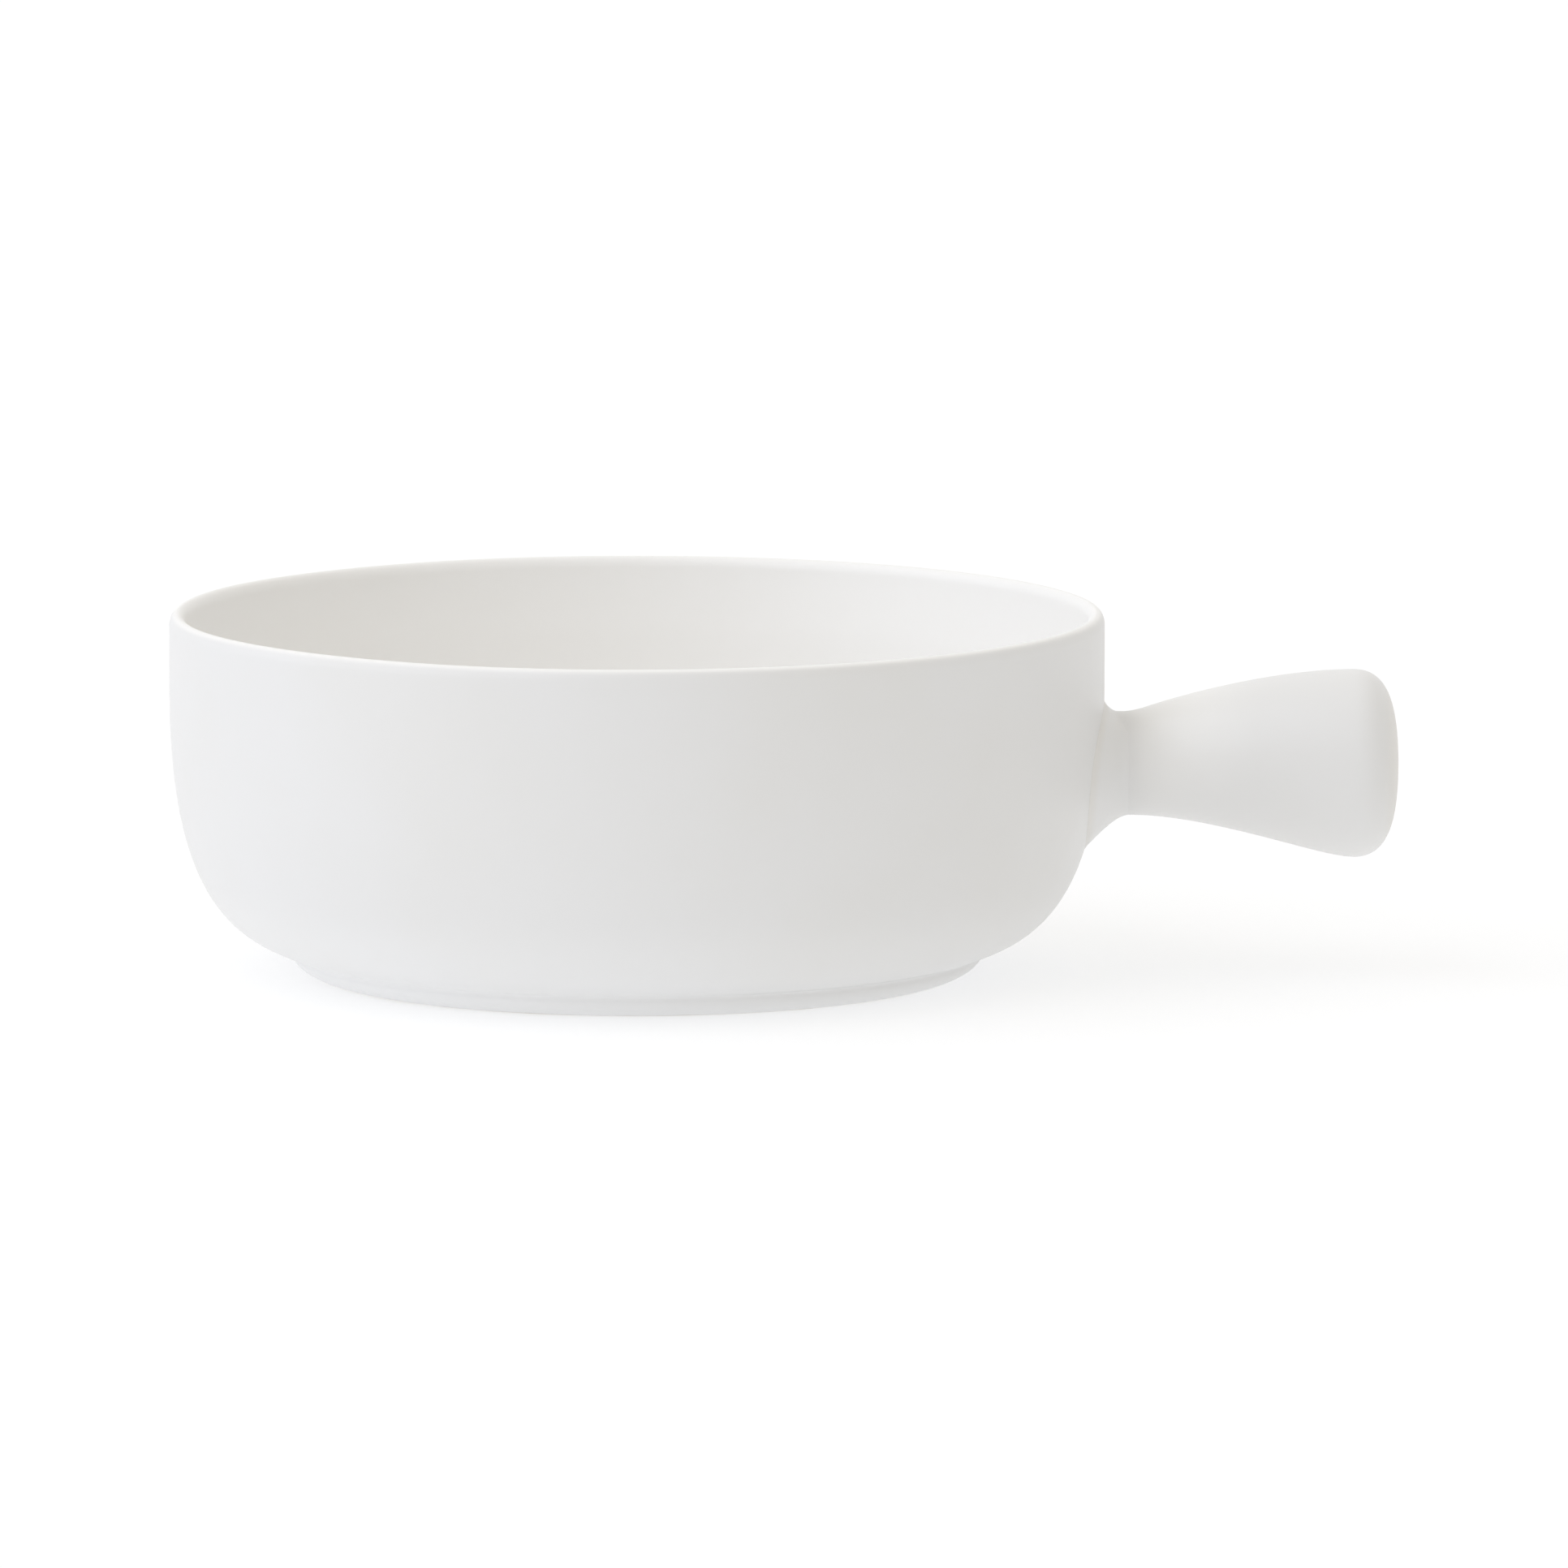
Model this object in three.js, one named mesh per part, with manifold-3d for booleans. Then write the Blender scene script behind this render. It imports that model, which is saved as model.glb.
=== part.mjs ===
// Handled salad bowl: a straight-walled stoneware bowl on a low foot ring, with one hollow handle
// that flares from a slim neck to a domed end. Shell, foot, handle and collar are made apart and luted.
// Millimetres, +Z up. The resting plane is z = 0 and the handle points along +X.
// The origin lies on the resting plane, midway between the wall's far side and the handle's tip.
import * as THREE from "three";
import { mergeVertices } from "three/addons/utils/BufferGeometryUtils.js";
import Module from "manifold-3d";

const wasm = await Module();
wasm.setup();

// Bowl body
const RIM_DIAMETER = 180; // outside of the straight wall
const BOWL_HEIGHT = 70; // resting plane to the top of the lip
const STRAIGHT_WALL = 15; // top of the lip to where the wall starts to round in
const LIP_THICKNESS = 2.8; // the lip is fully rounded
const WALL_THICKNESS = 4.4; // at the bottom of the straight wall
const FLOOR_THICKNESS = 5.5;
const FLAT_FLOOR_DIAMETER = 120; // flat middle of the inside floor

// Foot ring
const FOOT_HEIGHT = 4.5; // resting plane to the underside of the bowl
const FOOT_CREASE_DIAMETER = 133; // where the rounded wall meets the foot
const FOOT_TAPER = 7.5; // how far the outside of the foot draws in on its way down
const FOOT_REST_WIDTH = 5; // flat bare ring that stands on the table
const FOOT_INSIDE_TAPER = 2.5; // how far the inside of the foot opens on its way down

// Handle
const HANDLE_LENGTH = 56.6; // wall to tip
const HANDLE_AXIS_HEIGHT = 40.6; // above the resting plane
const TENON_DIAMETER = 17.8; // stub that passes through the collar to the wall
const NECK_DIAMETER = 20; // where the grip leaves the collar
const GRIP_DIAMETER = 36.2; // at its widest
const GRIP_END = 8.6; // widest place to the tip
const HANDLE_WALL = 4;
const VENT_DIAMETER = 3; // lets air out of the hollow in the kiln
const VENT_DISTANCE = 12; // wall to the middle of the vent

// Collar round the tenon
const COLLAR_LENGTH = 5.2; // wall to the collar's edge on the neck
const COLLAR_WIDTH = 37; // across its mouth, along the wall
const COLLAR_RISE = 11.8; // mouth above the handle's axis
const COLLAR_DROP = 16.2; // mouth below the handle's axis

// Slip-filled gap between pieces shaped to each other
const JOINT_GAP = 0.3;

// How far each spline's tangents reach, as shares of that curve's own height or width
const WALL_PULL = 0.86;
const FOOT_PULL = 0.385;
const FOOT_LIFT = 0.055;
const INSIDE_WALL_PULL = 0.87;
const INSIDE_FLOOR_PULL = 0.6;
const FOOT_ROLL = 0.5;
const FOOT_STAND = 0.45;
const NECK_PULL = 0.205;
const NECK_RISE = 0.395;
const GRIP_PULL = 0.35;
const UNDER_NECK_PULL = 0.39;
const UNDER_GRIP_PULL = 0.165;
const END_PULL = 0.7;
const DOME_PULL = 0.7;
const FLARE_RATIO = 1.4; // length of the collar's flare over its height

// Facets
const BOWL_SEGMENTS = 64;
const HANDLE_SEGMENTS = 40;
const VENT_SEGMENTS = 12;
const CORNER_STEPS = 9;
const LIP_STEPS = 6;
const FOOT_STEPS = 4;
const GRIP_STEPS = 10;
const END_STEPS = 6;
const FLARE_STEPS = 6;
const WELD = 1e-4;

// Derived places
const wallRadius = RIM_DIAMETER / 2;
const straightBase = BOWL_HEIGHT - STRAIGHT_WALL;
const creaseRadius = FOOT_CREASE_DIAMETER / 2;
const floorTop = FOOT_HEIGHT + FLOOR_THICKNESS;
const tenonRadius = TENON_DIAMETER / 2;
const neckRadius = NECK_DIAMETER / 2;
const gripRadius = GRIP_DIAMETER / 2;
const gripWidest = HANDLE_LENGTH - GRIP_END;
const shoulder = COLLAR_LENGTH + JOINT_GAP;

const point = (x, y) => new THREE.Vector2(x, y);

function spline(start, startPull, endPull, end, steps) {
  return new THREE.CubicBezierCurve(start, startPull, endPull, end).getPoints(steps);
}

// A closed triangle mesh as a solid that can be cut
function toSolid(geometry) {
  geometry.deleteAttribute("normal");
  geometry.deleteAttribute("uv");
  const welded = mergeVertices(geometry, WELD);
  const vertProperties = welded.attributes.position.array;
  const triVerts = new Uint32Array(welded.index.array);
  return new wasm.Manifold(new wasm.Mesh({ numProp: 3, vertProperties, triVerts }));
}

function toGeometry(solid) {
  const { vertProperties, triVerts } = solid.getMesh();
  const geometry = new THREE.BufferGeometry();
  geometry.setAttribute("position", new THREE.BufferAttribute(vertProperties, 3));
  geometry.setIndex(new THREE.BufferAttribute(triVerts, 1));
  geometry.computeVertexNormals();
  return geometry;
}

// A profile of (radius, height) points turned about the bowl's upright axis
function turnedUpright(profile) {
  return new THREE.LatheGeometry(profile, BOWL_SEGMENTS).rotateX(Math.PI / 2);
}

// Outside of the bowl from the foot crease up to the straight wall, grown outwards by a clearance
function outerWall(growth) {
  const radius = wallRadius + growth;
  const crease = creaseRadius + growth;
  const height = straightBase - FOOT_HEIGHT;
  return spline(
    point(crease, FOOT_HEIGHT),
    point(crease + FOOT_PULL * (radius - crease), FOOT_HEIGHT + FOOT_LIFT * height),
    point(radius, straightBase - WALL_PULL * height),
    point(radius, straightBase),
    CORNER_STEPS,
  );
}

// Radius of an outline at a place along it, and past its ends the radius of that end
function radiusAt(outline, place) {
  const next = outline.findIndex((spot) => spot.y >= place);
  if (next < 1) return outline.at(next).x;
  const before = outline[next - 1];
  const after = outline[next];
  return before.x + ((after.x - before.x) * (place - before.y)) / (after.y - before.y);
}

// Radius of the outer wall at a height
function wallRadiusAt(height) {
  return radiusAt(outerWall(0), height);
}

// The shell: flat underside, rounded corner, straight wall, round lip, rounded inside and flat floor
function bowlBody() {
  const lipRadius = LIP_THICKNESS / 2;
  const lip = new THREE.ArcCurve(wallRadius - lipRadius, BOWL_HEIGHT - lipRadius, lipRadius, 0, Math.PI);
  const insideRadius = wallRadius - WALL_THICKNESS;
  const flatRadius = FLAT_FLOOR_DIAMETER / 2;
  const inside = spline(
    point(insideRadius, straightBase),
    point(insideRadius, straightBase - INSIDE_WALL_PULL * (straightBase - floorTop)),
    point(flatRadius + INSIDE_FLOOR_PULL * (insideRadius - flatRadius), floorTop),
    point(flatRadius, floorTop),
    CORNER_STEPS,
  );
  const underside = point(0, FOOT_HEIGHT);
  const floorMiddle = point(0, floorTop);
  return turnedUpright([underside, ...outerWall(0), ...lip.getPoints(LIP_STEPS), ...inside, floorMiddle]);
}

// The foot: a low ring whose outside rolls in to a flat resting face
function footRing() {
  const restOuter = creaseRadius - FOOT_TAPER;
  const restInner = restOuter - FOOT_REST_WIDTH;
  const outside = spline(
    point(restOuter, 0),
    point(restOuter + FOOT_ROLL * FOOT_TAPER, 0),
    point(creaseRadius, FOOT_STAND * FOOT_HEIGHT),
    point(creaseRadius, FOOT_HEIGHT),
    FOOT_STEPS,
  );
  const restEdge = point(restInner, 0);
  const seatEdge = point(restInner - FOOT_INSIDE_TAPER, FOOT_HEIGHT);
  return turnedUpright([restEdge, ...outside, seatEdge, restEdge.clone()]);
}

// Everything inside the outer wall and its joint gap, to shape what is luted to the wall
function wallEnvelope() {
  const reach = wallRadius + JOINT_GAP;
  const base = point(0, FOOT_HEIGHT);
  return toSolid(
    turnedUpright([base, ...outerWall(JOINT_GAP), point(reach, BOWL_HEIGHT), point(0, BOWL_HEIGHT)]),
  );
}

// Top and sides of the grip, which widen from the neck at once. An inset shrinks them for the hollow.
function gripFlare(inset) {
  const start = shoulder + inset;
  const span = gripWidest - start;
  const neck = neckRadius - inset;
  const grip = gripRadius - inset;
  return spline(
    point(neck, start),
    point(neck + NECK_RISE * (grip - neck), start + NECK_PULL * span),
    point(grip, gripWidest - GRIP_PULL * span),
    point(grip, gripWidest),
    GRIP_STEPS,
  );
}

// Underside of the grip, which stays slim under the fingers before it widens
function gripUnderside() {
  const span = gripWidest - shoulder;
  return spline(
    point(neckRadius, shoulder),
    point(neckRadius, shoulder + UNDER_NECK_PULL * span),
    point(gripRadius, gripWidest - UNDER_GRIP_PULL * span),
    point(gripRadius, gripWidest),
    GRIP_STEPS,
  );
}

// Domed end of the grip, up to the handle's axis
function gripEnd(inset) {
  const grip = gripRadius - inset;
  const tip = HANDLE_LENGTH - inset;
  return spline(
    point(grip, gripWidest),
    point(grip, gripWidest + END_PULL * (tip - gripWidest)),
    point(DOME_PULL * grip, tip),
    point(0, tip),
    END_STEPS,
  );
}

// A profile of (radius, distance from the wall) points turned about the handle's axis,
// with its lower half drawn up to the grip's underside, more so the further a spot lies below the axis
function turnedOnHandle(profile) {
  const turned = new THREE.LatheGeometry(profile, HANDLE_SEGMENTS);
  const flare = gripFlare(0);
  const underside = gripUnderside();
  const spots = turned.attributes.position;
  for (let index = 0; index < spots.count; index += 1) {
    const along = spots.getY(index);
    const height = spots.getZ(index);
    if (height >= 0) continue;
    const low = height / Math.hypot(spots.getX(index), height);
    const drawn = 1 - radiusAt(underside, along) / radiusAt(flare, along);
    spots.setZ(index, height * (1 - drawn * low ** 2));
  }
  return turned.rotateZ(-Math.PI / 2).translate(wallRadius, 0, HANDLE_AXIS_HEIGHT);
}

// The handle: hollow grip, a stepped-down tenon cut to the wall, and a vent underneath
function handle(envelope) {
  const root = wallRadiusAt(HANDLE_AXIS_HEIGHT - tenonRadius) - WALL_THICKNESS - wallRadius;
  const outside = [...gripFlare(0), ...gripEnd(0).slice(1)];
  const hollow = [...gripFlare(HANDLE_WALL), ...gripEnd(HANDLE_WALL).slice(1)].reverse();
  const hollowRoot = point(tenonRadius - HANDLE_WALL, root);
  const tenon = [point(tenonRadius, root), point(tenonRadius, shoulder)];
  const casting = toSolid(turnedOnHandle([...hollow, hollowRoot, ...tenon, ...outside]));
  const vent = new THREE.CylinderGeometry(VENT_DIAMETER / 2, VENT_DIAMETER / 2, gripRadius, VENT_SEGMENTS)
    .rotateX(Math.PI / 2)
    .translate(wallRadius + VENT_DISTANCE, 0, HANDLE_AXIS_HEIGHT - gripRadius / 2);
  return toGeometry(casting.subtract(envelope).subtract(toSolid(vent)));
}

// How far the collar's mouth reaches from the handle's axis in a direction across the handle
function mouthReach(side, up) {
  const halfHeight = up > 0 ? COLLAR_RISE : COLLAR_DROP;
  return 1 / Math.hypot(side / (COLLAR_WIDTH / 2), up / halfHeight);
}

// The collar: a turned ring whose outside is drawn out to a wide mouth that follows the wall.
// Its rings run from inside the wall (-1) past the wall's face (0) to the edge on the neck (1).
function handleCollar(envelope) {
  const bore = tenonRadius + JOINT_GAP;
  const rings = [point(bore, -1), point(neckRadius, -1)];
  for (let step = 0; step <= FLARE_STEPS; step += 1) {
    rings.push(point(neckRadius, step / FLARE_STEPS));
  }
  rings.push(point(bore, 1), point(bore, -1));
  const collar = new THREE.LatheGeometry(rings, HANDLE_SEGMENTS);
  const spots = collar.attributes.position;
  for (let index = 0; index < spots.count; index += 1) {
    const radius = Math.hypot(spots.getX(index), spots.getZ(index));
    const side = spots.getX(index) / radius;
    const up = spots.getZ(index) / radius;
    const along = spots.getY(index);
    const mouth = mouthReach(side, up);
    const wall = Math.sqrt(wallRadiusAt(HANDLE_AXIS_HEIGHT + up * mouth) ** 2 - (side * mouth) ** 2);
    const length = wallRadius + COLLAR_LENGTH - wall;
    const flare = Math.min(length, FLARE_RATIO * (mouth - neckRadius));
    const fade = Math.max(0, 1 - (Math.max(0, along) * length) / flare);
    const onOutside = radius > bore + WELD;
    const drawn = onOutside ? radius + (mouth - neckRadius) * fade ** 2 : radius;
    spots.setXYZ(index, wall + along * length, -side * drawn, HANDLE_AXIS_HEIGHT + up * drawn);
  }
  return toGeometry(toSolid(collar).subtract(envelope));
}

const glaze = () => new THREE.MeshStandardMaterial({ color: 0xecebe8, roughness: 0.45, metalness: 0 });
const bareClay = () => new THREE.MeshStandardMaterial({ color: 0xe6e2d8, roughness: 0.8, metalness: 0 });

function piece(name, geometry, material) {
  const mesh = new THREE.Mesh(geometry, material);
  mesh.name = name;
  return mesh;
}

const envelope = wallEnvelope();
const bowl = new THREE.Group();
bowl.add(
  piece("bowl_body", bowlBody(), glaze()),
  piece("foot_ring", footRing(), bareClay()),
  piece("handle", handle(envelope), glaze()),
  piece("handle_collar", handleCollar(envelope), glaze()),
);
bowl.position.x = -HANDLE_LENGTH / 2;

const handledBowl = new THREE.Group();
handledBowl.add(bowl);

export default handledBowl;
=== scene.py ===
"""Handled salad bowl in satin white glazed stoneware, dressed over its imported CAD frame."""
import math

import bmesh
import bpy
from bpy.props import FloatProperty, FloatVectorProperty, PointerProperty
from mathutils import Matrix, Vector, noise
from mathutils.geometry import interpolate_bezier


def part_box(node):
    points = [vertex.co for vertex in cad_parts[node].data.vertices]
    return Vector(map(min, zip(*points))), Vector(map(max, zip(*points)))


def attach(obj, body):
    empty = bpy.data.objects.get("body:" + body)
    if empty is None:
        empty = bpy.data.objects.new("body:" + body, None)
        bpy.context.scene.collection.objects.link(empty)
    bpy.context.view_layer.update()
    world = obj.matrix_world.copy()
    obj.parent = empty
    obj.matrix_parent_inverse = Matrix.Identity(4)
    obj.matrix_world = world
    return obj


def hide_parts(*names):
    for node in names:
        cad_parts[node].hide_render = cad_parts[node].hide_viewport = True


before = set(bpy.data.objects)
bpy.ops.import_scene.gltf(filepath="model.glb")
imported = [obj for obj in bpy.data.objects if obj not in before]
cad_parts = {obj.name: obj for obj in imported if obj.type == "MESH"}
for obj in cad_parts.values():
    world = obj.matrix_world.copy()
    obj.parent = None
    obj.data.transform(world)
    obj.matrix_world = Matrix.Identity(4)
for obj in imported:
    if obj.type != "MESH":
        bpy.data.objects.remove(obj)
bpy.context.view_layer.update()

bl_info = {
    "name": "Handled Salad Bowl",
    "version": (1, 0, 0),
    "blender": (4, 5, 0),
    "location": "View3D > Sidebar > Salad Bowl",
    "description": "Turns, joins and glazes a handled stoneware salad bowl over its CAD frame",
    "category": "Object",
}

# Places read from the frame, in metres
SHELL_LOW, SHELL_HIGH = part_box("bowl_body")
FOOT_LOW, FOOT_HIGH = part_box("foot_ring")
GRIP_LOW, GRIP_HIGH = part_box("handle")

# Mesh density
SHELL_STEPS = 224
FOOT_STEPS = 192
HANDLE_STEPS = 128
COLLAR_STEPS = 128
VENT_STEPS = 48
FLOOR_STEPS = 128
CURVE_POINTS = 28
FILLET_POINTS = 8
LIP_POINTS = 21
FLARE_POINTS = 24
WALL_POINTS = 6
DISH_POINTS = 8
REST_POINTS = 4
WELD = 1e-7
SHARP_EDGE = math.radians(40)

# Pulls of the profile curves, as shares of each curve's own height or width
WALL_PULL = 0.86
FOOT_PULL = 0.385
FOOT_LIFT = 0.055
INSIDE_WALL_PULL = 0.87
INSIDE_FLOOR_PULL = 0.6
FOOT_ROLL = 0.5
FOOT_STAND = 0.45
NECK_PULL = 0.205
NECK_RISE = 0.395
GRIP_PULL = 0.35
UNDER_NECK_PULL = 0.39
UNDER_GRIP_PULL = 0.165
END_PULL = 0.7
DOME_PULL = 0.7
FLARE_RATIO = 1.4
EASE = 2 / 3

# Where the collar starts inside the wall, as a share of its length
COLLAR_BURIED = -0.3

# How many walls of the casting deep the vent is punched
PUNCH_DEPTH = 1.5

# How far the kiln moves the shell's skin in or out, and over what distance, in metres
KILN_DEPTH = 0.0001
KILN_SPREAD = 0.055

# How thick the glaze lies, kept on each vertex: 0 is drawn thin and 1 is pooled. The same layer carries
# painted light at the handle's neck and painted shade on the grip's end and at the collar's edge.
GLAZE_AND_PAINTED_LIGHT_LAYER = "glaze_depth_and_painted_light"
GLAZE_EVEN = 0.5

# Where the whiter glaze was poured, kept on each vertex: 0 is dipped and 1 is poured. Inside the bowl it is
# partly painted light for the brighter light there, and on the foot and low on the outer wall it is painted
# light that lifts their shade.
POURED_AND_PAINTED_LIGHT_LAYER = "poured_glaze_and_painted_light"
# Painted light on the foot, given as whiter poured glaze, lifting its shade near the floor
FOOT_PAINTED_LIGHT = 0.85
# Whiter glaze run low on the outer wall, which is also painted light lifting the shade near the foot
FOOT_RUN_AND_PAINTED_LIGHT = 0.3

# How much thicker the glaze lies where it pooled, and how much thinner where it drew back. The neck's
# amount is painted light, the tip's is thin glaze with painted shade, and the collar's is painted shade.
CREASE_POOL = 0.4
CORNER_POOL = 0.2
FOOT_POOL = 0.5
# Painted light at the handle's neck, given as pooled glaze, lifting the shade the bowl casts there
NECK_PAINTED_LIGHT = 0.43
# Thinner, darker glaze over the grip's end, which is also painted shade on the end turned from the light
TIP_THIN_AND_SHADE = 0.5
# Painted shade along the collar's edge at the wall, given as thin glaze
COLLAR_SHADE = 0.4

# What the neck's underside has of the painted light on its top
NECK_UNDERSIDE_LIGHT = 0.5

# How far those places reach, in metres
CREASE_RISE = 0.0022
CREASE_REACH = 0.004
CORNER_RISE = 0.016
# Height of that whiter run, painted light over the shade near the foot
FOOT_RUN_LIGHT_RISE = 0.008
FOOT_POOL_DROP = 0.0012
INSIDE_START = 0.0003
INSIDE_END = 0.001
# Where the painted light at the neck begins, is full and fades out, and how far round it reaches
NECK_LIGHT_START = -0.003
NECK_LIGHT_FULL = 0.004
NECK_LIGHT_FADE_START = 0.005
NECK_LIGHT_FADE_END = 0.032
NECK_SIDE = 0.01
# How far that painted shade reaches from the wall
COLLAR_SHADE_REACH = 0.0016

# Noise in the finishes, in features per metre
CLOUD_SCALE = 24.0
PEEL_SCALE = 620.0
GRAIN_SCALE = 2400.0
SAND_SCALE = 1500.0
PATCH_SCALE = 120.0
WAVE_SCALE = 90.0

# The levels of each noise between which it takes effect
CLOUD_LEVELS = (0.35, 0.75)
STREAK_LEVELS = (0.3, 0.7)
SAND_LEVELS = (0.52, 0.72)
PATCH_LEVELS = (0.4, 0.8)
WAVE_LEVELS = (0.3, 0.7)

# How fully each change of colour covers
THIN_AND_SHADE_COVER = 0.85
POOLED_AND_LIT_COVER = 0.8
WARM_COVER = 0.8
SAND_COVER = 0.7
DUSTING_COVER = 0.35

# How much of one noise is mixed into another
PEEL_IN_STREAKS = 0.35
GRAIN_IN_PEEL = 0.3

# How much rougher thin glaze is, and how much smoother pooled glaze
GLOSS_CHANGE = 0.08

# Relief of the noise, and how far the glaze's edge on the foot wanders, in metres
CLOUD_RELIEF = 0.0003
PEEL_RELIEF = 0.00003
SAND_RELIEF = 0.00012
EDGE_WANDER = 0.0001

# The Mix node's kinds, each with the places of its two inputs and of its output
MIX_KINDS = {"FLOAT": (2, 3, 0), "VECTOR": (4, 5, 1), "RGBA": (6, 7, 2)}

WHITE = (1.0, 1.0, 1.0, 1.0)

# Width of the camera's film in millimetres, and how far it sees in metres
FILM_WIDTH = 36.0
SIGHT = 100.0


def length(name, description, default):
    """A size that the user may change, shown in scene units."""
    return FloatProperty(name=name, description=description, default=default, unit="LENGTH", precision=4)


def colour(name, description, default):
    """A linear colour that the user may change."""
    return FloatVectorProperty(
        name=name, description=description, default=default, subtype="COLOR", min=0.0, max=1.0
    )


def share(name, description, default):
    """A plain number between nothing and all."""
    return FloatProperty(name=name, description=description, default=default, min=0.0, max=1.0)


def angle(name, description, degrees):
    """An angle that the user may change, written here in degrees."""
    return FloatProperty(name=name, description=description, default=math.radians(degrees), subtype="ANGLE")


class BowlShape(bpy.types.PropertyGroup):
    """Sizes of the shell and of the foot under it."""

    axis_x: length("Axis", "Place of the upright axis along the length", (SHELL_LOW.x + SHELL_HIGH.x) / 2)
    rim_radius: length("Rim radius", "Outside of the straight wall", (SHELL_HIGH.x - SHELL_LOW.x) / 2)
    rim_height: length("Rim height", "Resting plane to the top of the lip", SHELL_HIGH.z)
    straight_wall: length("Straight wall", "Top of the lip to where the wall rounds in", 0.015)
    lip: length("Lip", "Thickness of the rounded lip", 0.0032)
    lip_rise: length("Lip rise", "Height of the rounding on top of the lip", 0.0024)
    wall: length("Wall", "Wall at the bottom of its straight part", 0.0044)
    floor: length("Floor", "Thickness of the floor", 0.0055)
    flat_floor_radius: length("Flat floor radius", "Flat middle of the inside floor", 0.06)
    dish: length("Dish", "How far the middle of the floor sinks", 0.0003)
    foot_height: length("Foot height", "Resting plane to the underside", FOOT_HIGH.z)
    crease_radius: length("Crease radius", "Where the wall meets the foot", (FOOT_HIGH.x - FOOT_LOW.x) / 2)
    crease_fill: length("Crease fill", "Glaze that fills the crease above the foot", 0.0006)
    foot_taper: length("Foot taper", "How far the foot draws in on its way down", 0.0075)
    foot_rest: length("Foot rest", "Width of the flat resting ring", 0.005)
    foot_inside: length("Foot inside", "How far the foot's inside opens on its way down", 0.0025)
    foot_edge: length("Foot edge", "Rounding of the foot's inner edge", 0.0008)
    foot_seat: length("Foot seat", "How far the foot is set into the shell", 0.0003)


class HandleShape(bpy.types.PropertyGroup):
    """Sizes of the handle and of the collar at its root."""

    axis_height: length("Axis height", "Resting plane to the handle's axis", (GRIP_LOW.z + GRIP_HIGH.z) / 2)
    tip_x: length("Tip", "Place of the handle's tip along the length", GRIP_HIGH.x)
    tenon_radius: length("Tenon radius", "Stub that passes through the collar", 0.0089)
    neck_radius: length("Neck radius", "Grip where it leaves the collar", 0.010)
    grip_radius: length("Grip radius", "Grip at its widest", (GRIP_HIGH.y - GRIP_LOW.y) / 2)
    grip_end: length("Grip end", "Widest place to the tip", 0.0086)
    casting: length("Casting", "Wall of the hollow handle", 0.004)
    vent_radius: length("Vent radius", "Air vent underneath", 0.0015)
    vent_mouth: length("Vent mouth", "Softened mouth of the vent", 0.0021)
    vent_distance: length("Vent distance", "Wall to the middle of the vent", 0.012)
    collar_length: length("Collar length", "Wall to the collar's edge on the neck", 0.0052)
    collar_reach: length("Collar reach", "Half the collar's width along the wall", 0.0185)
    collar_rise: length("Collar rise", "Collar's mouth above the handle's axis", 0.0118)
    collar_drop: length("Collar drop", "Collar's mouth below the handle's axis", 0.0162)
    joint: length("Joint", "Slip between the collar's edge and the grip", 0.0003)
    tuck: length("Tuck", "How far grip and collar dip under each other at their joint", 0.00004)
    neck_ease: length("Neck ease", "Glaze that eases the neck into the grip, on each side", 0.0026)
    fillet: length("Fillet", "Glaze that fills the angle between collar and wall", 0.0003)


class GlazeLook(bpy.types.PropertyGroup):
    """Colours and gloss of the glaze and of the bare clay; the poured, thin and pooled colours also carry
    painted light and shade.
    """

    glaze: colour("Glaze", "Even satin white glaze, dipped", (0.8, 0.797, 0.792))
    glaze_warm: colour("Warm glaze", "Slightly creamier clouds in the glaze", (0.787, 0.78, 0.764))
    # Whiter poured glaze: inside the bowl partly painted light for the brighter light there, on the foot
    # painted light over its shade
    glaze_poured_and_painted_light: colour("Poured glaze", "Thicker, whiter glaze poured inside", (0.925, 0.919, 0.905))
    # Thin glaze colour, which also paints shade on the grip's end and along the collar's edge
    glaze_thin_and_shade: colour("Thin glaze", "Glaze drawn thin over an end or angle", (0.765, 0.745, 0.71))
    # Pooled glaze colour, which at the handle's neck is painted light
    glaze_pooled_and_painted_light: colour("Pooled glaze", "Glaze gathered thick", (0.93, 0.926, 0.915))
    clay: colour("Clay", "Bare stoneware", (0.76, 0.725, 0.645))
    clay_dark: colour("Dark clay", "Darker grains in the stoneware", (0.62, 0.57, 0.48))
    gloss_rough: share("Glossy places", "Roughness where the glaze is smoothest", 0.36)
    matt_rough: share("Matt places", "Roughness where the glaze is driest", 0.47)
    clay_rough: share("Clay roughness", "Roughness of the bare clay", 0.88)
    coat: share("Skin", "Weight of the glaze's smoother outer skin", 0.12)
    coat_rough: share("Skin roughness", "Roughness of that skin", 0.24)
    bare_height: length("Bare height", "How high the bare clay rises on the foot", 0.0003)


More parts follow.
